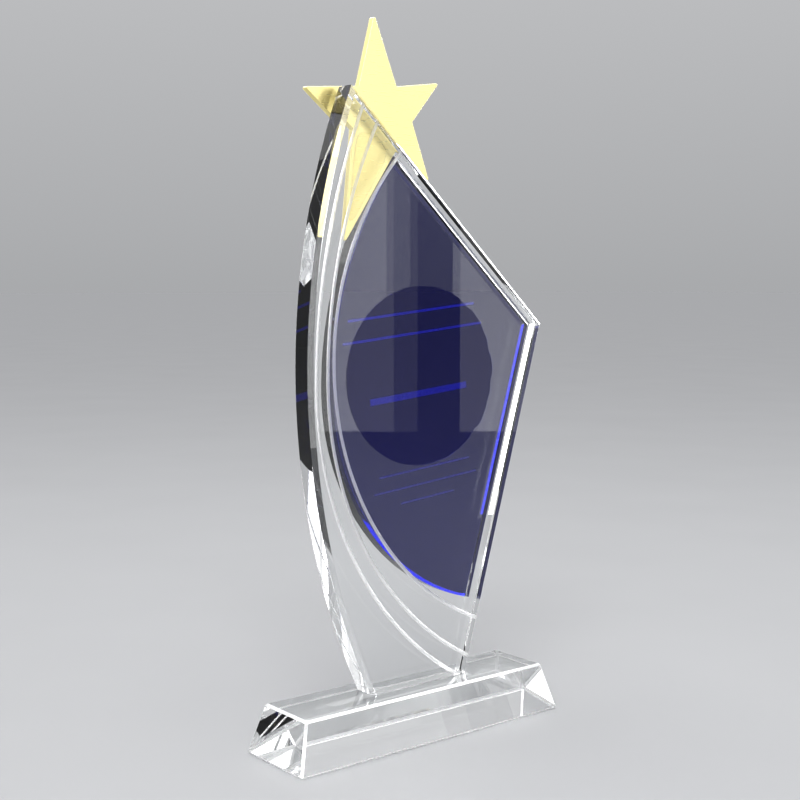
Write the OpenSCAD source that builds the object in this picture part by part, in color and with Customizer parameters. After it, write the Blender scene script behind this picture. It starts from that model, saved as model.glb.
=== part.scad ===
// Star trophy: a clear sail-shaped crystal plate on a clear bevelled block, with a cobalt blue
// plate and a gold metal star bonded to its front face.
//
// The origin is the centre of the block's underside. +Z is up, +X runs along the block towards the
// sail's corner, and -Y faces the viewer who stands behind the trophy. Each plate's outline lies
// in the XZ plane, and its thickness runs along +Y.

/* [Base block] */
// Length of the block's underside
base_length = 142; // [130:1:170]
// Depth of the block's underside, front to back
base_depth = 40; // [38:1:60]
// Height of the block
base_height = 21; // [16:1:30]
// How far each end leans in towards the top
base_end_lean = 6; // [2:0.5:10]
// How far each long side leans in towards the top
base_side_lean = 5; // [2:0.5:6]
// Polished bevel on the block's edges
base_bevel = 0.8; // [0.4:0.1:1.5]

/* [Clear sail plate] */
// Thickness of the sail plate
sail_thickness = 12; // [9:1:14]
// Distance from the block's centre line back to the sail's rear face
sail_setback = 5; // [4:0.5:8]
// Height of the pointed top
sail_top_z = 273; // [265:1:285]
// Sideways place of the pointed top
sail_top_x = -33; // [-36:1:-30]
// Height of the side corner
sail_corner_z = 175.5; // [165:0.5:185]
// Sideways place of the side corner
sail_corner_x = 74; // [70:1:80]
// Sideways place of the foot's end under the corner
sail_foot_x = 29; // [24:1:34]
// Sideways place of the curved edge where it stands out furthest
sail_left_x = -55.3; // [-60:0.1:-52]
// Height at which the curved edge stands out furthest
sail_bulge_z = 157; // [150:1:165]
// Polished bevel on the sail plate's edges
sail_bevel = 1.8; // [0.8:0.1:2.5]

/* [Engraved sweeps] */
// Width of each frosted line cut in the rear face
sweep_width = 1.6; // [0.8:0.1:2.5]
// Depth of each frosted line
sweep_depth = 0.4; // [0.2:0.1:1]

/* [Blue plate] */
// Thickness of the blue plate
blue_thickness = 8; // [5:1:8]
// How far its straight edges stand in from the sail plate's
blue_inset = 1.5; // [1:0.5:3]
// Sideways place of its curved edge where it stands out furthest
blue_left_x = -40; // [-41:1:-36]
// Height at which its curved edge stands out furthest
blue_bulge_z = 150; // [145:1:155]
// Radius of the curved edge below that height
blue_low_radius = 100; // [95:1:105]
// Radius of the curved edge above that height
blue_high_radius = 155; // [150:1:158]
// Polished bevel on the blue plate's edges
blue_bevel = 1.2; // [0.5:0.1:1.5]
// Depth of the ruled lines that stand for the dedication
rule_depth = 0.3; // [0.1:0.1:0.6]
// How far the ruled lines tilt, rising towards the sail's corner
rule_tilt = 5.8; // [0:0.1:8]

/* [Star] */
// Thickness of the metal star
star_thickness = 3; // [2:0.5:5]
// Sideways place of the star's middle
star_x = -10; // [-10.5:0.1:-9.5]
// Height of the star's middle
star_z = 263.5; // [263:0.5:265]

/* [Adhesive] */
// Thickness of every film of clear adhesive
film = 0.2; // [0.1:0.1:0.4]
// Radius of the round patch between the two plates
patch_radius = 39; // [30:1:45]
// Sideways place of the round patch
patch_x = 8; // [5:1:12]
// Height of the round patch
patch_z = 154; // [148:1:160]

/* [Hidden] */
$fn = 180;

reach = 400;
rear_y = -sail_setback;
front_y = rear_y + sail_thickness;
foot_z = base_height + film;
blue_front_y = front_y + film + blue_thickness;

sail_top = [sail_top_x, sail_top_z];
sail_corner = [sail_corner_x, sail_corner_z];
sail_foot = [sail_foot_x, foot_z];
sail_run = sail_top_x - sail_left_x;
sail_rise = sail_top_z - sail_bulge_z;
sail_radius = (sail_run * sail_run + sail_rise * sail_rise) / (2 * sail_run);
foot_left_x = sail_left_x + sail_radius - sqrt(pow(sail_radius, 2) - pow(sail_bulge_z - foot_z, 2));

// Each sweep: furthest left x, the height there, radius below it, radius above it
sweeps = [[-43.5, 161, 125, 125], [-46.5, 154, 141, 230], [-52, 152, 151, 284]];

// Each ruled line: distance above rule_middle, length, width
rule_middle = [10.5, 146];
rules = [[35.6, 70, 1.2], [26.4, 77, 1.2], [0, 54, 3], [-32.9, 51, 0.9], [-39.6, 58, 0.9],
         [-46.1, 30, 0.9]];

// The star's tips and the notches between them: angle and distance from the star's middle.
// The arm that follows the blue plate's curved edge is the long one.
star_tips = [[94.5, 41.5], [167.5, 39.5], [247, 59], [315.5, 37.5], [27, 36]];
star_notches = [[135.5, 15.9], [201.5, 19.6], [282.5, 16], [355.5, 17.2], [56, 15.4]];

// Where the star's adhesive lies, clear of both outlines
star_pad = [[-26.5, 255], [-17, 255.5], [-10, 247], [-31.5, 214.5]];

function polar(p) = [p[1] * cos(p[0]), p[1] * sin(p[0])];
function star_outline() = [for (i = [0:4], p = [star_tips[i], star_notches[i]]) polar(p)];

// A side view of the block: sloping sides, with a bevel at the top and the bottom
function block_outline(low, high, height, bevel) =
    let (lean = (low - high) / height * bevel)
    let (half = [[low - bevel, 0], [low - lean, bevel], [high + lean, height - bevel],
                 [high - bevel, height]])
    concat(half, [for (i = [3:-1:0]) [-half[i][0], half[i][1]]]);

module block_prism(turn, low, high) {
    rotate([90, 0, turn])
        linear_extrude(reach, center = true)
            polygon(block_outline(low, high, base_height, base_bevel));
}

// A disc standing in the XZ plane, with its rim bevelled on both faces
module bevelled_disc(x, z, radius, y, thickness, bevel) {
    translate([x, y, z])
        rotate([-90, 0, 0])
            rotate_extrude()
                polygon([[0, 0], [radius - bevel, 0], [radius, bevel], [radius, thickness - bevel],
                         [radius - bevel, thickness], [0, thickness]]);
}

// Everything on the inner side of the straight edge from p to q, bevelled along that edge
module bevelled_side(p, q, inset, y, thickness, bevel) {
    along = (q - p) / norm(q - p);
    outward = [-along[1], along[0]];
    start = p - inset * outward;
    translate([start[0], y, start[1]])
        rotate([0, atan2(-outward[1], outward[0]), 0])
            linear_extrude(2 * reach, center = true)
                polygon([[-reach, 0], [-bevel, 0], [0, bevel], [0, thickness - bevel],
                         [-bevel, thickness], [-reach, thickness]]);
}

module above(z) {
    translate([-reach, -reach / 2, z]) cube([2 * reach, reach, reach]);
}

module below(z) {
    translate([-reach, -reach / 2, z - reach]) cube([2 * reach, reach, reach]);
}

// A line of even width that follows one arc up to the height of its bulge and another above it
module sweep_half(sweep, radius) {
    translate([sweep[0] + radius, rear_y - 1, sweep[1]])
        rotate([-90, 0, 0])
            rotate_extrude()
                translate([radius - sweep_width / 2, 0])
                    square([sweep_width, 1 + sweep_depth]);
}

module sweep_cut(sweep) {
    intersection() {
        sweep_half(sweep, sweep[2]);
        below(sweep[1]);
    }
    intersection() {
        sweep_half(sweep, sweep[3]);
        above(sweep[1]);
    }
}

module base_block() {
    half_length = base_length / 2;
    half_depth = base_depth / 2;
    corner = (half_length + half_depth - base_bevel) / sqrt(2);
    corner_lean = (base_end_lean + base_side_lean) / sqrt(2);
    color([0.85, 0.9, 0.92, 0.5])
        intersection() {
            block_prism(0, half_length, half_length - base_end_lean);
            block_prism(90, half_depth, half_depth - base_side_lean);
            block_prism(45, corner, corner - corner_lean);
            block_prism(-45, corner, corner - corner_lean);
        }
}

module foot_adhesive() {
    edge = 1;
    color([0.95, 0.95, 0.9, 0.6])
        translate([foot_left_x + edge, rear_y + sail_bevel, base_height])
            cube([sail_foot_x - foot_left_x - 2 * edge, sail_thickness - 2 * sail_bevel, film]);
}

module sail_plate() {
    color([0.85, 0.92, 0.95, 0.4])
        difference() {
            intersection() {
                bevelled_disc(sail_left_x + sail_radius, sail_bulge_z, sail_radius, rear_y,
                              sail_thickness, sail_bevel);
                bevelled_side(sail_top, sail_corner, 0, rear_y, sail_thickness, sail_bevel);
                bevelled_side(sail_corner, sail_foot, 0, rear_y, sail_thickness, sail_bevel);
                above(foot_z);
            }
            for (sweep = sweeps) sweep_cut(sweep);
        }
}

module plate_adhesive() {
    color([0.95, 0.95, 0.9, 0.6])
        translate([patch_x, front_y, patch_z])
            rotate([-90, 0, 0])
                cylinder(h = film, r = patch_radius);
}

// The two arcs of the blue plate's curved edge, joined at the height of its bulge
module blue_blank(y) {
    intersection() {
        bevelled_disc(blue_left_x + blue_low_radius, blue_bulge_z, blue_low_radius, y,
                      blue_thickness, blue_bevel);
        below(blue_bulge_z);
    }
    intersection() {
        bevelled_disc(blue_left_x + blue_high_radius, blue_bulge_z, blue_high_radius, y,
                      blue_thickness, blue_bevel);
        above(blue_bulge_z);
    }
}

module blue_plate() {
    y = front_y + film;
    color([0.03, 0.05, 0.5, 0.8])
        difference() {
            intersection() {
                blue_blank(y);
                bevelled_side(sail_top, sail_corner, blue_inset, y, blue_thickness, blue_bevel);
                bevelled_side(sail_corner, sail_foot, blue_inset, y, blue_thickness, blue_bevel);
            }
            translate([rule_middle[0], blue_front_y - rule_depth, rule_middle[1]])
                rotate([0, -rule_tilt, 0])
                    for (rule = rules)
                        translate([-rule[1] / 2, 0, rule[0] - rule[2] / 2])
                            cube([rule[1], rule_depth + 1, rule[2]]);
        }
}

module star_adhesive() {
    color([0.95, 0.95, 0.9, 0.6])
        translate([0, front_y + film, 0])
            rotate([90, 0, 0])
                linear_extrude(film)
                    polygon(star_pad);
}

module star() {
    color([0.9, 0.75, 0.3])
        translate([star_x, front_y + film + star_thickness, star_z])
            rotate([90, 0, 0])
                linear_extrude(star_thickness)
                    polygon(star_outline());
}

base_block();
foot_adhesive();
sail_plate();
plate_adhesive();
blue_plate();
star_adhesive();
star();
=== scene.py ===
import math

import bmesh
import bpy
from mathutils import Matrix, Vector
from mathutils.geometry import delaunay_2d_cdt


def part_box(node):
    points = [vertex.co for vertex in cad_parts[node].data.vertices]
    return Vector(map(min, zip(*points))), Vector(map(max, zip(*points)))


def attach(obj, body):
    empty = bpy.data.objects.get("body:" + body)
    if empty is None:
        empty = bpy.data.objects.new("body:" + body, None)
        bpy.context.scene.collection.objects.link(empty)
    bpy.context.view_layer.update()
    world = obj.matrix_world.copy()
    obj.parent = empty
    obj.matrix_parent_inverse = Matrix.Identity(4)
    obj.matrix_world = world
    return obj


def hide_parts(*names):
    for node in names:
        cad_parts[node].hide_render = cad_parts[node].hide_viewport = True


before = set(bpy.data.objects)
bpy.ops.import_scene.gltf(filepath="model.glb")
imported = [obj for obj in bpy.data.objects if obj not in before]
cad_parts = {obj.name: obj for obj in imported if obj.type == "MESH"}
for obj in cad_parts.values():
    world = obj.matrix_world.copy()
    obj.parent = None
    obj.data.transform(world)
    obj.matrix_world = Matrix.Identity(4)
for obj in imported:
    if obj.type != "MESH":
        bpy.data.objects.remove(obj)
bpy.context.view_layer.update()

# A star trophy of clear and cobalt crystal, seen from behind its left side. The trophy's and the
# camera's lengths are in millimetres, and MM turns them into the frame's metres. The floor and
# the lights are placed in metres.
MM = 0.001

# ---------------------------------------------------------------- sizes


def box_mm(node):
    """A CAD node's lowest and highest corners, in millimetres."""
    low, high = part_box(node)
    return low / MM, high / MM


sail_low, sail_high = box_mm("sail_plate")
blue_low, blue_high = box_mm("blue_plate")
star_low, star_high = box_mm("star")
patch_low, patch_high = box_mm("plate_adhesive")
foot_low, foot_high = box_mm("foot_adhesive")
pad_low, pad_high = box_mm("star_adhesive")

# Where the foot's adhesive lies, as (x, y)
FOOT_RING = [(foot_low.x, foot_low.y), (foot_high.x, foot_low.y), (foot_high.x, foot_high.y),
             (foot_low.x, foot_high.y)]

# The clear plate: its three corners, its curved edge's furthest left point, its bevel
SAIL_TOP = Vector((-33, 273))
SAIL_CORNER = Vector((74, 175.5))
SAIL_FOOT = Vector((29, sail_low.z))
SAIL_LEFT = -55.3
SAIL_BULGE = 157
SAIL_BEVEL = 1.8

# The blue plate: how far its straight edges stand in from the clear plate's, the furthest left
# point of its curved edge, the radius below and above that point, its bevel
BLUE_INSET = 1.5
BLUE_LEFT = -40
BLUE_BULGE = 150
BLUE_LOW_RADIUS = 100
BLUE_HIGH_RADIUS = 155
BLUE_BEVEL = 1.2

# Each frosted sweep: furthest left x, the height there, radius below it, radius above it
SWEEPS = [(-43.5, 161, 125, 125), (-46.5, 154, 141, 230), (-52, 152, 151, 284)]
SWEEP_WIDTH = 1.6
SWEEP_DEPTH = 0.4

# The ruled lines on the blue plate rise at RULE_TILT towards the sail's corner. Each is its
# distance above RULE_MIDDLE, its length and its width.
RULES = [(35.6, 70, 1.2), (26.4, 77, 1.2), (0, 54, 3), (-32.9, 51, 0.9), (-39.6, 58, 0.9),
         (-46.1, 30, 0.9)]
RULE_MIDDLE = Vector((10.5, 146))
RULE_TILT = math.radians(5.8)
RULE_DEPTH = 0.3

# The star's tips and notches: angle in degrees and distance from its middle
STAR_MIDDLE = Vector((-10, 263.5))
STAR_TIPS = [(94.5, 41.5), (167.5, 39.5), (247, 59), (315.5, 37.5), (27, 36)]
STAR_NOTCHES = [(135.5, 15.9), (201.5, 19.6), (282.5, 16), (355.5, 17.2), (56, 15.4)]
# Where the star's adhesive lies
STAR_PAD = [(-26.5, 255), (-17, 255.5), (-10, 247), (-31.5, 214.5)]

# Adhesive stays this far off the glass, so that no two surfaces lie in one plane
CLEARANCE = 0.02


# ---------------------------------------------------------------- meshes


class Skin:
    """Faces with a normal for each corner and a material slot, made into one mesh. Points that
    agree to this many decimals of a millimetre are one point."""

    decimals = 4

    def __init__(self):
        self.points = []
        self.index = {}
        self.faces = []

    def add(self, points, normals, slot=0):
        """Adds a face, turned so that it faces the way its normals point."""
        corners = []
        for point, normal in zip(points, normals):
            key = tuple(round(c, self.decimals) for c in point)
            if key not in self.index:
                self.index[key] = len(self.points)
                self.points.append(Vector(point))
            if not corners or corners[-1][0] != self.index[key]:
                corners.append((self.index[key], Vector(normal).normalized()))
        if corners[0][0] == corners[-1][0]:
            corners.pop()
        if len(corners) < 3:
            return
        ring = [self.points[i] for i, _ in corners]
        area = sum((ring[i - 1].cross(ring[i]) for i in range(len(ring))), Vector())
        if area.dot(sum((n for _, n in corners), Vector())) < 0:
            corners.reverse()
        self.faces.append((corners, slot))

    def make(self, name, node, materials, marks=None):
        """The finished piece, riding on the root body and standing for its CAD node. marks gives
        the face attributes that its material reads, as the slots that each one covers."""
        mesh = bpy.data.meshes.new(name)
        mesh.from_pydata([p * MM for p in self.points], [],
                         [[i for i, _ in corners] for corners, _ in self.faces])
        for material in materials:
            mesh.materials.append(material)
        for polygon, (_, index) in zip(mesh.polygons, self.faces):
            polygon.material_index = 0 if marks else index
            polygon.use_smooth = True
        for mark, covered in (marks or {}).items():
            attribute = mesh.attributes.new(mark, "FLOAT", "FACE")
            attribute.data.foreach_set("value", [float(i == covered) for _, i in self.faces])
        mesh.normals_split_custom_set([n for corners, _ in self.faces for _, n in corners])
        mesh.update()
        piece = bpy.data.objects.new(name, mesh)
        bpy.context.scene.collection.objects.link(piece)
        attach(piece, "root")
        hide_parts(node)
        return piece


def upright(y):
    """Places outline points (x, z) on the plane at y."""
    return lambda p: Vector((p[0], y, p[1]))


def level(z):
    """Places outline points (x, y) on the plane at z."""
    return lambda p: Vector((p[0], p[1], z))


def anticlockwise(ring):
    """The ring, turned round if it runs clockwise."""
    area = sum(ring[i - 1][0] * ring[i][1] - ring[i][0] * ring[i - 1][1] for i in range(len(ring)))
    return list(ring) if area > 0 else list(ring)[::-1]


def fill(skin, place, normal, outer, regions=(), slot=0):
    """Fills a flat outline. Each region is (points, slot), and a slot of None leaves a hole."""
    points = anticlockwise(outer)
    faces = [list(range(len(outer)))]
    for ring, _ in regions:
        faces.append(list(range(len(points), len(points) + len(ring))))
        points += anticlockwise(ring)
    keep_inside, tolerance = 1, 1e-6
    made, _, triangles, given, _, origins = delaunay_2d_cdt(
        [Vector(p) for p in points], [], faces, keep_inside, tolerance, True)
    for triangle, origin in zip(triangles, origins):
        inside = [i for i in origin if i > 0]
        here = regions[inside[0] - 1][1] if inside else slot
        if here is None or 0 not in origin:
            continue
        ring = [place(points[given[i][0]] if given[i] else made[i]) for i in triangle]
        skin.add(ring, [normal] * len(ring), here)


def rounded_profile(corners, radius, steps=3):
    """Points (outward, y, normal) down a plate's edge. Each corner is (point, normal before,
    normal after), and is rounded by a small arc."""
    found = []
    for corner, before, after in corners:
        before, after = Vector(before).normalized(), Vector(after).normalized()
        middle = Vector(corner) - radius * (before + after) / (1 + before.dot(after))
        start = math.atan2(before.y, before.x)
        turn = math.atan2(after.y, after.x) - start
        for i in range(steps + 1):
            normal = Vector((math.cos(start + turn * i / steps), math.sin(start + turn * i / steps)))
            point = middle + radius * normal
            found.append((point.x, point.y, normal))
    return found


def plate_profile(thickness, bevel, radius=0.2):
    """The edge of a plate with a bevel on both faces."""
    near, far = (0, -1), (0, 1)
    return rounded_profile([((-bevel, 0), near, (1, -1)), ((0, bevel), (1, -1), (1, 0)),
                            ((0, thickness - bevel), (1, 0), (1, 1)),
                            ((-bevel, thickness), (1, 1), far)], radius)


def loft(skin, outline, profile, y, slot=0):
    """Sides of a plate. outline(inset) gives stretches (start, end, start normal, end normal),
    and a stretch whose normals are None is left open."""
    rings = [outline(-out) for out, _, _ in profile]
    for k in range(len(profile) - 1):
        for here, there in zip(rings[k], rings[k + 1]):
            if here[2] is None:
                continue
            points, normals = [], []
            for ring, end, step in ((here, 0, k), (here, 1, k), (there, 1, k + 1), (there, 0, k + 1)):
                _, along, bend = profile[step]
                side = ring[2 + end]
                points.append(upright(y + along)(ring[end]))
                normals.append(Vector((side[0] * bend.x, bend.y, side[1] * bend.x)))
            skin.add(points, normals, slot)
    return rings


def ring_of(stretches):
    """The points where an outline's stretches start."""
    return [s[0] for s in stretches]


# ---------------------------------------------------------------- outlines, in (x, z)


def side_line(p, q, inset):
    """The straight edge from p to q, moved in by inset: a point, a direction, a normal out."""
    along = (q - p).normalized()
    out = Vector((along.y, -along.x))
    return p - inset * out, along, out


def cross_lines(a, b):
    """Where two lines meet, each a point and a direction."""
    det = a[1].x * b[1].y - a[1].y * b[1].x
    gap = b[0] - a[0]
    return a[0] + a[1] * ((gap.x * b[1].y - gap.y * b[1].x) / det)


def cross_circle(line, centre, radius, forward):
    """Where a line meets a circle, ahead along the line or behind."""
    gap = line[0] - centre
    half = gap.dot(line[1])
    root = math.sqrt(half * half - gap.length_squared + radius * radius)
    return line[0] + line[1] * ((root if forward else -root) - half)


def arc(centre, radius, start, end, count):
    """Stretches along an arc between two points on it, turning the short way."""
    first = math.atan2(start.y - centre.y, start.x - centre.x)
    turn = math.atan2(end.y - centre.y, end.x - centre.x) - first
    turn = (turn + math.pi) % (2 * math.pi) - math.pi
    normals = [Vector((math.cos(first + turn * i / count), math.sin(first + turn * i / count)))
               for i in range(count + 1)]
    points = [centre + radius * n for n in normals]
    points[0], points[-1] = start, end
    return [(points[i], points[i + 1], normals[i], normals[i + 1]) for i in range(count)]


run, rise = SAIL_TOP.x - SAIL_LEFT, SAIL_TOP.y - SAIL_BULGE
SAIL_RADIUS = (run * run + rise * rise) / (2 * run)
SAIL_CENTRE = Vector((SAIL_LEFT + SAIL_RADIUS, SAIL_BULGE))


def sail_outline(inset):
    """The sail plate's outline, anticlockwise from the left end of its foot."""
    radius = SAIL_RADIUS - inset
    drop = SAIL_BULGE - SAIL_FOOT.y
    foot_left = Vector((SAIL_CENTRE.x - math.sqrt(radius * radius - drop * drop), SAIL_FOOT.y))
    low = side_line(SAIL_FOOT, SAIL_CORNER, inset)
    high = side_line(SAIL_CORNER, SAIL_TOP, inset)
    foot = (Vector((0, SAIL_FOOT.y)), Vector((1, 0)), Vector((0, -1)))
    foot_right = cross_lines(low, foot)
    corner = cross_lines(low, high)
    top = cross_circle(high, SAIL_CENTRE, radius, True)
    arc_steps = 220
    return [(foot_left, foot_right, None, None), (foot_right, corner, low[2], low[2]),
            (corner, top, high[2], high[2]),
            *arc(SAIL_CENTRE, radius, top, foot_left, arc_steps)]


def blue_outline(inset):
    """The blue plate's outline, anticlockwise from its lower right end."""
    low_centre = Vector((BLUE_LEFT + BLUE_LOW_RADIUS, BLUE_BULGE))
    high_centre = Vector((BLUE_LEFT + BLUE_HIGH_RADIUS, BLUE_BULGE))
    low = side_line(SAIL_FOOT, SAIL_CORNER, BLUE_INSET + inset)
    high = side_line(SAIL_CORNER, SAIL_TOP, BLUE_INSET + inset)
    start = cross_circle(low, low_centre, BLUE_LOW_RADIUS - inset, False)
    corner = cross_lines(low, high)
    top = cross_circle(high, high_centre, BLUE_HIGH_RADIUS - inset, True)
    left = Vector((BLUE_LEFT + inset, BLUE_BULGE))
    high_steps, low_steps = 110, 130
    return [(start, corner, low[2], low[2]), (corner, top, high[2], high[2]),
            *arc(high_centre, BLUE_HIGH_RADIUS - inset, top, left, high_steps),
            *arc(low_centre, BLUE_LOW_RADIUS - inset, left, start, low_steps)]


def smooth_closed(corners):
    """The stretches of a closed outline, from its points and their normals."""
    following = corners[1:] + corners[:1]
    return [(here[0], there[0], here[1], there[1]) for here, there in zip(corners, following)]


def rounded_star(inset):
    """The star's outline with its tips and notches rounded."""
    tip_radius, notch_radius, steps = 0.65, 0.7, 8
    corners = []
    for tip, notch in zip(STAR_TIPS, STAR_NOTCHES):
        for (angle, reach), convex in ((tip, True), (notch, False)):
            a = math.radians(angle)
            corners.append((STAR_MIDDLE + reach * Vector((math.cos(a), math.sin(a))), convex))
    bends = []
    for i, (corner, convex) in enumerate(corners):
        before = side_line(corners[i - 1][0], corner, 0)[2]
        after = side_line(corner, corners[(i + 1) % len(corners)][0], 0)[2]
        radius = tip_radius if convex else -notch_radius
        centre = corner - radius * (before + after) / (1 + before.dot(after))
        first = math.atan2(before.y, before.x)
        turn = (math.atan2(after.y, after.x) - first + math.pi) % (2 * math.pi) - math.pi
        for k in range(steps + 1):
            a = first + turn * k / steps
            normal = Vector((math.cos(a), math.sin(a)))
            bends.append((centre + (radius - inset) * normal, normal))
    return smooth_closed(bends)


def patch_outline(inset):
    """The adhesive patch, a little wider than it is high, with an uneven right rim where it
    spread."""
    centre = Vector(((patch_low.x + patch_high.x) / 2, (patch_low.z + patch_high.z) / 2))
    rim_gap, spread, bulge, count = 0.4, 1.045, 0.2, 240
    radius = (patch_high.x - patch_low.x) / 2 - rim_gap
    found = []
    for i in range(count):
        a = 2 * math.pi * i / count
        uneven = (0.5 + 0.5 * math.cos(a)) ** 2
        ripple = 0.35 * math.sin(11 * a + 1) + 0.3 * math.sin(19 * a) + 0.2 * math.sin(31 * a + 2)
        reach = radius - inset + uneven * (ripple + bulge)
        point = centre + reach * Vector((spread * math.cos(a), math.sin(a)))
        found.append((point, Vector((math.cos(a), math.sin(a)))))
    return smooth_closed(found)


def pad_outline(inset):
    """The adhesive behind the star, with soft corners."""
    softened, steps, half_width = 0.25, 6, 10
    corners = [Vector(p) for p in STAR_PAD]
    middle = sum(corners, Vector((0, 0))) / len(corners)
    found = []
    for i, corner in enumerate(corners):
        start = corner.lerp(corners[i - 1], softened)
        end = corner.lerp(corners[(i + 1) % len(corners)], softened)
        for k in range(steps + 1):
            t = k / steps
            found.append(start.lerp(corner, t).lerp(corner.lerp(end, t), t))
    ring = [middle + (p - middle) * (1 - inset / half_width) for p in found]
    return smooth_closed([(p, (p - middle).normalized()) for p in ring])


# ---------------------------------------------------------------- materials


def new_material(name):
    """A material with its node tree, its shader and its output."""
    material = bpy.data.materials.new(name)
    material.use_nodes = True
    tree = material.node_tree
    return material, tree, tree.nodes["Principled BSDF"], tree.nodes["Material Output"]


def noise(tree, scale, detail=4.0, stretch=(1, 1, 1), turn=(0, 0, 0)):
    """A noise pattern in the frame's own metres."""
    place = tree.nodes.new("ShaderNodeTexCoord")
    mapping = tree.nodes.new("ShaderNodeMapping")
    mapping.inputs["Scale"].default_value = stretch
    mapping.inputs["Rotation"].default_value = turn
    texture = tree.nodes.new("ShaderNodeTexNoise")
    texture.inputs["Scale"].default_value = scale
    texture.inputs["Detail"].default_value = detail
    tree.links.new(place.outputs["Object"], mapping.inputs["Vector"])
    tree.links.new(mapping.outputs["Vector"], texture.inputs["Vector"])
    return texture.outputs["Fac"]


def between(tree, value, low, high, start=0.35, end=0.65):
    """value from start to end, taken to low to high."""
    node = tree.nodes.new("ShaderNodeMapRange")
    node.inputs["From Min"].default_value = start
    node.inputs["From Max"].default_value = end
    node.inputs["To Min"].default_value = low
    node.inputs["To Max"].default_value = high
    tree.links.new(value, node.inputs["Value"])
    return node.outputs["Result"]


def blended(tree, value, low, high):
    """A colour from low to high as value goes from 0 to 1."""
    node = tree.nodes.new("ShaderNodeMix")
    node.data_type = "RGBA"
    node.inputs[6].default_value = (*low, 1)
    node.inputs[7].default_value = (*high, 1)
    tree.links.new(value, node.inputs[0])
    return node.outputs[2]


def bump(tree, shader, height, strength, distance):
    """Tilts the shader's surface as a height pattern would."""
    node = tree.nodes.new("ShaderNodeBump")
    node.inputs["Strength"].default_value = strength
    node.inputs["Distance"].default_value = distance
    tree.links.new(height, node.inputs["Height"])
    tree.links.new(node.outputs["Normal"], shader.inputs["Normal"])


def face_mark(tree, name):
    """1 on the faces that carry this mark, and 0 elsewhere."""
    node = tree.nodes.new("ShaderNodeAttribute")
    node.attribute_name = name
    return node.outputs["Fac"]


def mixed(tree, factor, low, high):
    """A number that goes from low to high with factor. Either may be a socket."""
    node = tree.nodes.new("ShaderNodeMix")
    for socket, value in ((node.inputs[2], low), (node.inputs[3], high)):
        if isinstance(value, (int, float)):
            socket.default_value = value
        else:
            tree.links.new(value, socket)
    tree.links.new(factor, node.inputs[0])
    return node.outputs[0]


def absorb(tree, output, colour, density):
    """Colours light by the distance that it travels inside."""
    volume = tree.nodes.new("ShaderNodeVolumeAbsorption")
    volume.inputs["Color"].default_value = (*colour, 1)
    volume.inputs["Density"].default_value = density
    tree.links.new(volume.outputs["Volume"], output.inputs["Volume"])


CRYSTAL_IOR = 1.52
GROUND_GRAIN = 2600


def smudges(tree):
    """Faint handling smudges in a polished surface, from 0 to 1, and the roughness they give."""
    smudge = between(tree, noise(tree, 45, 6), 0.0, 1.0, 0.45, 0.7)
    return smudge, between(tree, smudge, 0.0, 0.025, 0, 1)


def crystal():
    """Polished optical crystal."""
    material, tree, shader, _ = new_material("clear_crystal")
    shader.inputs["Transmission Weight"].default_value = 1.0
    shader.inputs["IOR"].default_value = CRYSTAL_IOR
    smudge, polish = smudges(tree)
    tree.links.new(blended(tree, smudge, (0.99, 1, 1), (0.975, 0.985, 0.985)),
                   shader.inputs["Base Color"])
    tree.links.new(polish, shader.inputs["Roughness"])
    return material


def cobalt():
    """Polished cobalt crystal. Its matt ruled lines and the patch under adhesive, which light
    crosses without bending, are marked faces of the same body, because one shader has to hold
    the colour that light loses inside."""
    material, tree, shader, output = new_material("cobalt_crystal")
    shader.inputs["IOR"].default_value = CRYSTAL_IOR
    matt, under_adhesive = face_mark(tree, "matt"), face_mark(tree, "bonded")
    _, polish = smudges(tree)
    grain = noise(tree, GROUND_GRAIN, 3)
    tree.links.new(mixed(tree, matt, polish, 1.0), shader.inputs["Roughness"])
    tree.links.new(mixed(tree, matt, 1.0, 0.95), shader.inputs["Transmission Weight"])
    tree.links.new(mixed(tree, under_adhesive, CRYSTAL_IOR, 1.0), shader.inputs["IOR"])
    tree.links.new(blended(tree, matt, (1, 1, 1), (0.93, 0.96, 1)), shader.inputs["Base Color"])
    bump(tree, shader, mixed(tree, matt, 0.5, grain), 1.0, 0.0005)
    absorb(tree, output, (0.0, 0.14, 0.74), 850.0)
    return material


def bonded(name):
    """Crystal under adhesive, or the adhesive on it, which light crosses without bending."""
    material, tree, shader, output = new_material(name)
    tree.nodes.remove(shader)
    clear = tree.nodes.new("ShaderNodeBsdfTransparent")
    cloud = noise(tree, 60, 3)
    tree.links.new(blended(tree, cloud, (1, 1, 1), (0.97, 0.97, 0.97)), clear.inputs["Color"])
    tree.links.new(clear.outputs["BSDF"], output.inputs["Surface"])
    return material


def frosted(name, smoothest, roughest, clear):
    """Ground crystal, between clear and white, which scatters the light that it lets through."""
    material, tree, shader, _ = new_material(name)
    grain = noise(tree, GROUND_GRAIN, 3)
    tree.links.new(blended(tree, grain, (0.94, 0.95, 0.96), (1, 1, 1)), shader.inputs["Base Color"])
    tree.links.new(between(tree, grain, smoothest, roughest), shader.inputs["Roughness"])
    shader.inputs["Transmission Weight"].default_value = clear
    shader.inputs["IOR"].default_value = CRYSTAL_IOR
    bump(tree, shader, grain, 0.2, 0.0001)
    return material


def gold_plate():
    """Pale gold plating over a finely brushed star."""
    material, tree, shader, _ = new_material("pale_gold")
    shader.inputs["Metallic"].default_value = 1.0
    brushed = noise(tree, 2400, 4, stretch=(0.05, 1, 1), turn=(0, math.radians(25), 0))
    broad = noise(tree, 35, 3)
    tree.links.new(blended(tree, broad, (1.0, 0.86, 0.38), (1.0, 0.89, 0.42)),
                   shader.inputs["Base Color"])
    tree.links.new(between(tree, brushed, 0.27, 0.32), shader.inputs["Roughness"])
    bump(tree, shader, brushed, 0.02, 0.00005)
    return material


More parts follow.
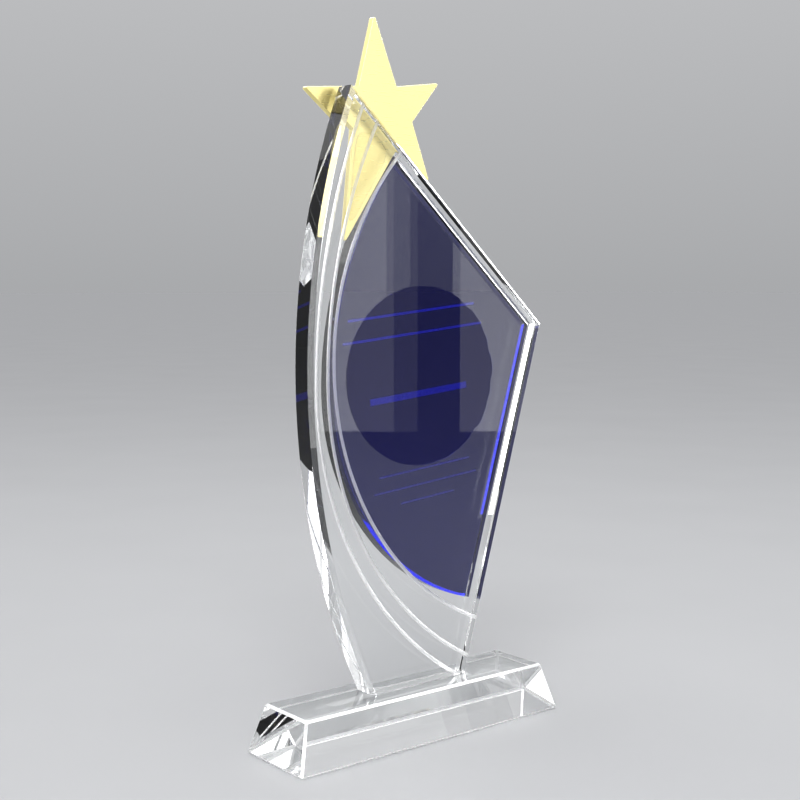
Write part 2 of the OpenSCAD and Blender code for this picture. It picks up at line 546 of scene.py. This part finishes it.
def cured_adhesive():
    """The rim of a film of clear adhesive, slightly cloudy."""
    material, tree, shader, _ = new_material("adhesive_rim")
    shader.inputs["Transmission Weight"].default_value = 0.85
    shader.inputs["IOR"].default_value = 1.5
    cloud = noise(tree, 400, 3)
    tree.links.new(blended(tree, cloud, (0.9, 0.92, 0.93), (1, 1, 1)), shader.inputs["Base Color"])
    tree.links.new(between(tree, cloud, 0.1, 0.3), shader.inputs["Roughness"])
    return material


clear_crystal = crystal()
clear_bonded = bonded("clear_crystal_under_adhesive")
cobalt_crystal = cobalt()
frost = frosted("frosted_groove", 0.6, 0.8, 0.62)
satin = frosted("satin_bevel", 0.4, 0.5, 0.25)
gold = gold_plate()
film_face = bonded("adhesive_face")
film_rim = cured_adhesive()


# ---------------------------------------------------------------- pieces


def in_sail_face(point, inset):
    """How far a point is inside the sail's flat face, with its bevel left off."""
    low = side_line(SAIL_FOOT, SAIL_CORNER, inset)
    high = side_line(SAIL_CORNER, SAIL_TOP, inset)
    return min(-(point - low[0]).dot(low[2]), -(point - high[0]).dot(high[2]),
               SAIL_RADIUS - inset - (point - SAIL_CENTRE).length, point.y - SAIL_FOOT.y)


def sweep_line(sweep, offset, inset, count):
    """Points along one line of a sweep, from its low end to its high end. It stops at the edge
    of the sail's flat face."""
    left, bulge, low_radius, high_radius = sweep
    step, edge_gap = 0.001, 0.12

    def at(angle):
        radius = low_radius if angle < 0 else high_radius
        return Vector((left + radius - (radius - offset) * math.cos(angle),
                       bulge + (radius - offset) * math.sin(angle)))

    ends = []
    for sign in (-1, 1):
        angle = 0.0
        while in_sail_face(at(angle + sign * step), inset) > edge_gap:
            angle += sign * step
        ends.append(angle)
    lengths = [-ends[0] * low_radius, ends[1] * high_radius]
    below = round(count * lengths[0] / sum(lengths))
    angles = [ends[0] * (1 - i / below) for i in range(below)]
    angles += [ends[1] * i / (count - below) for i in range(count - below + 1)]
    return [at(a) for a in angles]


def cut_sweep(skin, sweep, inset, y, slot):
    """Adds a sweep's rounded trough to the skin and returns the outline that it opens. shape is
    a cut across it, as shares of its width and depth."""
    count, fade_steps = 240, 2
    shape = [(-0.5, 0), (-0.3, 0.75), (0, 1), (0.3, 0.75), (0.5, 0)]
    lines = [sweep_line(sweep, across * SWEEP_WIDTH, inset, count) for across, _ in shape]
    rows = []
    for i in range(count + 1):
        fade = min(1, min(i, count - i) / fade_steps)
        rows.append([upright(y + depth * fade * SWEEP_DEPTH)(line[i])
                     for line, (_, depth) in zip(lines, shape)])
    for i in range(count):
        for k in range(len(shape) - 1):
            quad = [rows[i][k], rows[i][k + 1], rows[i + 1][k + 1], rows[i + 1][k]]
            normal = (quad[1] - quad[0]).cross(quad[3] - quad[0])
            if normal.y > 0:
                normal = -normal
            skin.add(quad, [normal] * 4, slot)
    ends = [[line[i] for line in lines[1:-1]] for i in (0, -1)]
    return lines[0] + ends[1] + lines[-1][::-1] + ends[0][::-1]


def make_sail():
    """The clear sail plate, with its sweeps and the places where adhesive covers it."""
    skin = Skin()
    thickness = sail_high.y - sail_low.y
    profile = plate_profile(thickness, SAIL_BEVEL)
    rings = loft(skin, sail_outline, profile, sail_low.y)
    inset = -profile[0][0]
    sweeps = [(cut_sweep(skin, sweep, inset, sail_low.y, 1), None) for sweep in SWEEPS]
    fill(skin, upright(sail_low.y), (0, -1, 0), ring_of(rings[0]), sweeps)
    covered = [(ring_of(patch_outline(0)), 2), (ring_of(pad_outline(0)), 2)]
    fill(skin, upright(sail_high.y), (0, 1, 0), ring_of(rings[-1]), covered)
    lefts = [(ring[0][0].x, sail_low.y + along) for ring, (_, along, _) in zip(rings, profile)]
    rights = [(ring[0][1].x, sail_low.y + along) for ring, (_, along, _) in zip(rings, profile)]
    fill(skin, level(sail_low.z), (0, 0, -1), rights + lefts[::-1], [(FOOT_RING, 2)])
    return skin.make("clear_sail", "sail_plate", [clear_crystal, frost, clear_bonded])


def cut_pocket(skin, rule, y, slot):
    """Adds a ruled line's pocket, with sloping sides, and returns the outline that it opens."""
    above, length, width = rule
    slope = 0.12
    along = Vector((math.cos(RULE_TILT), math.sin(RULE_TILT)))
    upward = Vector((-along.y, along.x))

    def ring(inset):
        half_length, half_width = length / 2 - inset, width / 2 - inset
        return [RULE_MIDDLE + along * a * half_length + upward * (above + b * half_width)
                for a, b in ((-1, -1), (1, -1), (1, 1), (-1, 1))]

    mouth, floor = ring(0), ring(slope)
    for i in range(4):
        quad = [upright(y)(mouth[i - 1]), upright(y)(mouth[i]), upright(y - RULE_DEPTH)(floor[i]),
                upright(y - RULE_DEPTH)(floor[i - 1])]
        normal = (quad[1] - quad[0]).cross(quad[3] - quad[0])
        skin.add(quad, [normal if normal.y > 0 else -normal] * 4, slot)
    skin.add([upright(y - RULE_DEPTH)(p) for p in floor], [(0, 1, 0)] * 4, slot)
    return mouth


def make_blue():
    """The cobalt plate, with ruled lines on its front and the adhesive's patch on its back."""
    skin = Skin()
    profile = plate_profile(blue_high.y - blue_low.y, BLUE_BEVEL)
    rings = loft(skin, blue_outline, profile, blue_low.y)
    fill(skin, upright(blue_low.y), (0, -1, 0), ring_of(rings[0]), [(ring_of(patch_outline(0)), 2)])
    pockets = [(cut_pocket(skin, rule, blue_high.y, 1), None) for rule in RULES]
    fill(skin, upright(blue_high.y), (0, 1, 0), ring_of(rings[-1]), pockets)
    return skin.make("cobalt_sail", "blue_plate", [cobalt_crystal],
                     {"matt": 1, "bonded": 2})


def make_star():
    """The metal star, with rounded points and softened edges."""
    skin = Skin()
    thickness, edge_radius = star_high.y - star_low.y, 0.35
    profile = rounded_profile([((0, 0), (0, -1), (1, 0)), ((0, thickness), (1, 0), (0, 1))],
                              edge_radius, steps=5)
    rings = loft(skin, rounded_star, profile, star_low.y)
    fill(skin, upright(star_low.y), (0, -1, 0), ring_of(rings[0]))
    fill(skin, upright(star_high.y), (0, 1, 0), ring_of(rings[-1]))
    return skin.make("gold_star", "star", [gold])


def make_film(name, node, outline, y0, y1):
    """A film of adhesive between two plates."""
    skin = Skin()
    low, high = y0 + CLEARANCE, y1 - CLEARANCE
    profile = [(0, low, Vector((1, 0))), (0, high, Vector((1, 0)))]
    rings = loft(skin, outline, profile, 0, 1)
    fill(skin, upright(low), (0, -1, 0), ring_of(rings[0]))
    fill(skin, upright(high), (0, 1, 0), ring_of(rings[-1]))
    return skin.make(name, node, [film_face, film_rim])


def make_foot_film():
    """The film of adhesive under the sail's foot."""
    skin = Skin()
    low, high = foot_low.z + CLEARANCE, foot_high.z - CLEARANCE
    fill(skin, level(low), (0, 0, -1), FOOT_RING)
    fill(skin, level(high), (0, 0, 1), FOOT_RING)
    for i, b in enumerate(FOOT_RING):
        a = FOOT_RING[i - 1]
        out = Vector((b[1] - a[1], a[0] - b[0], 0))
        skin.add([level(low)(a), level(low)(b), level(high)(b), level(high)(a)], [out] * 4, 1)
    return skin.make("foot_film", "foot_adhesive", [film_face, film_rim])


def make_block():
    """The bevelled base block, from the CAD block's own faces, with every edge eased. Its wide
    sides are polished, and its bevels and eased edges are satin. A corner takes the normal of its
    widest face, so that only the eased edges look round."""
    weld, flat_angle, easing = 0.001 * MM, math.radians(1), 0.14 * MM
    smallest_bevel, smallest_side, level_enough = 3 * MM * MM, 200 * MM * MM, 0.999
    shape = bmesh.new()
    shape.from_mesh(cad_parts["base_block"].data)
    bmesh.ops.remove_doubles(shape, verts=shape.verts, dist=weld)
    bmesh.ops.dissolve_limit(shape, angle_limit=flat_angle, verts=shape.verts, edges=shape.edges)
    bmesh.ops.bevel(shape, geom=shape.edges[:], offset=easing, segments=2, profile=0.5,
                    affect="EDGES")
    shape.normal_update()
    skin = Skin()
    corner_normal = {}
    for vertex in shape.verts:
        widest = max(vertex.link_faces, key=lambda f: f.calc_area())
        flat = widest.calc_area() > smallest_bevel
        corner_normal[vertex] = widest.normal.copy() if flat else vertex.normal.copy()
    for face in shape.faces:
        ring = [v.co / MM for v in face.verts]
        wide = face.calc_area() > smallest_side
        if wide and face.normal.z > level_enough:
            fill(skin, level(ring[0].z), (0, 0, 1), [(p.x, p.y) for p in ring], [(FOOT_RING, 1)])
        else:
            skin.add(ring, [corner_normal[v] for v in face.verts], 0 if wide else 2)
    shape.free()
    return skin.make("crystal_block", "base_block", [clear_crystal, clear_bonded, satin])


make_block()
make_sail()
make_blue()
make_star()
make_film("patch_film", "plate_adhesive", patch_outline, patch_low.y, patch_high.y)
make_film("star_film", "star_adhesive", pad_outline, pad_low.y, pad_high.y)
make_foot_film()


# ---------------------------------------------------------------- stage, light and camera

CAMERA_AZIMUTH = math.radians(-38.77)


def make_floor():
    """A plain pale floor, a hair below the trophy."""
    mesh = bpy.data.meshes.new("floor")
    half = 30.0
    drop = -0.0003
    mesh.from_pydata([(-half, -half, drop), (half, -half, drop), (half, half, drop),
                      (-half, half, drop)], [], [(0, 1, 2, 3)])
    floor = bpy.data.objects.new("floor", mesh)
    bpy.context.scene.collection.objects.link(floor)
    material, tree, shader, _ = new_material("pale_floor")
    tree.links.new(blended(tree, noise(tree, 8, 2), (0.56, 0.565, 0.575), (0.59, 0.595, 0.605)),
                   shader.inputs["Base Color"])
    shader.inputs["Roughness"].default_value = 0.9
    shader.inputs["Specular IOR Level"].default_value = 0.0
    mesh.materials.append(material)


def softbox(name, place, size, radiance, aim=(0, 0, 0.15), lights_floor=False):
    """An evenly lit panel that faces aim. The camera doesn't see it, but gloss and glass do, and
    most panels leave matt surfaces to the two that light the floor."""
    lamp = bpy.data.lights.new(name, "AREA")
    lamp.shape = "RECTANGLE"
    lamp.size, lamp.size_y = size
    lamp.energy = radiance * math.pi * size[0] * size[1]
    light = bpy.data.objects.new(name, lamp)
    light.visible_camera = False
    light.visible_diffuse = lights_floor
    light.location = place
    light.rotation_mode = "QUATERNION"
    light.rotation_quaternion = (Vector(aim) - Vector(place)).to_track_quat("-Z", "Y")
    bpy.context.scene.collection.objects.link(light)


def make_world():
    """Soft surroundings that grow darker towards the horizon, to the floor's own tone there."""
    world = bpy.data.worlds.new("studio")
    bpy.context.scene.world = world
    world.use_nodes = True
    tree = world.node_tree
    place = tree.nodes.new("ShaderNodeTexCoord")
    split = tree.nodes.new("ShaderNodeSeparateXYZ")
    tree.links.new(place.outputs["Generated"], split.inputs["Vector"])
    height = between(tree, split.outputs["Z"], 0.0, 1.0, 0.0, 1.0)
    tree.links.new(blended(tree, height, (0.36, 0.365, 0.375), (0.76, 0.76, 0.77)),
                   tree.nodes["Background"].inputs["Color"])


def reflected_panel(name, start, end, radiance):
    """A tall panel that the camera sees mirrored in the plates. start and end are its sides,
    measured across from the middle of the view."""
    low, high, distance = 0.02, 1.3, 1.0
    middle = Vector((0.01, 0.007, (low + high) / 2))
    ahead = Vector((-math.sin(CAMERA_AZIMUTH), -math.cos(CAMERA_AZIMUTH), 0))
    across = Vector((math.cos(CAMERA_AZIMUTH), -math.sin(CAMERA_AZIMUTH), 0))
    place = middle + ahead * distance + across * (start + end) / 2
    softbox(name, place, (end - start, high - low), radiance, place - ahead)


def make_camera():
    """Looks at the trophy from behind its left side, a little above the middle."""
    elevation = math.radians(4.97)
    distance = 559.2 * MM
    target = Vector((-5.44, 0, 144.4)) * MM
    back = Vector((math.sin(CAMERA_AZIMUTH) * math.cos(elevation),
                   -math.cos(CAMERA_AZIMUTH) * math.cos(elevation), math.sin(elevation)))
    data = bpy.data.cameras.new("camera")
    data.lens = 59.37
    data.sensor_width = 36
    data.clip_start, data.clip_end = 0.01, 50
    camera = bpy.data.objects.new("camera", data)
    camera.location = target + back * distance
    camera.rotation_mode = "QUATERNION"
    camera.rotation_quaternion = (-back).to_track_quat("-Z", "Y")
    bpy.context.scene.collection.objects.link(camera)
    bpy.context.scene.camera = camera


make_floor()
make_world()
reflected_panel("rear_panel_left", -0.7, -0.03, 0.86)
reflected_panel("rear_panel_dim", -0.03, -0.002, 0.35)
reflected_panel("rear_panel_right", 0.048, 0.7, 0.86)
softbox("key_box", (-1.1, -1.2, 1.6), (1.2, 0.9), 4, lights_floor=True)
softbox("left_box", (-0.95, 0.15, 0.45), (0.6, 0.9), 1.6)
softbox("right_box", (1.3, 0.75, 0.64), (0.47, 1.2), 7, (0, 0, 0.64))
softbox("far_box", (0.58, 1.38, 0.5), (0.3, 1.0), 5, (0, 0, 0.5))
softbox("top_box", (0.0, 0.0, 1.1), (0.9, 0.9), 1.0, lights_floor=True)
softbox("front_box", (-0.165, 1.15, 0.6), (1.0, 1.1), 0.9, (-0.165, 0, 0.6))
softbox("back_box", (1.0, 1.24, 1.08), (1.0, 0.8), 9)
make_camera()

scene = bpy.context.scene
scene.view_settings.view_transform = "Standard"
scene.view_settings.look = "Medium High Contrast"
scene.cycles.max_bounces = 40
scene.cycles.glossy_bounces = 24
scene.cycles.transmission_bounces = 32
scene.cycles.transparent_max_bounces = 32
scene.cycles.use_denoising = True
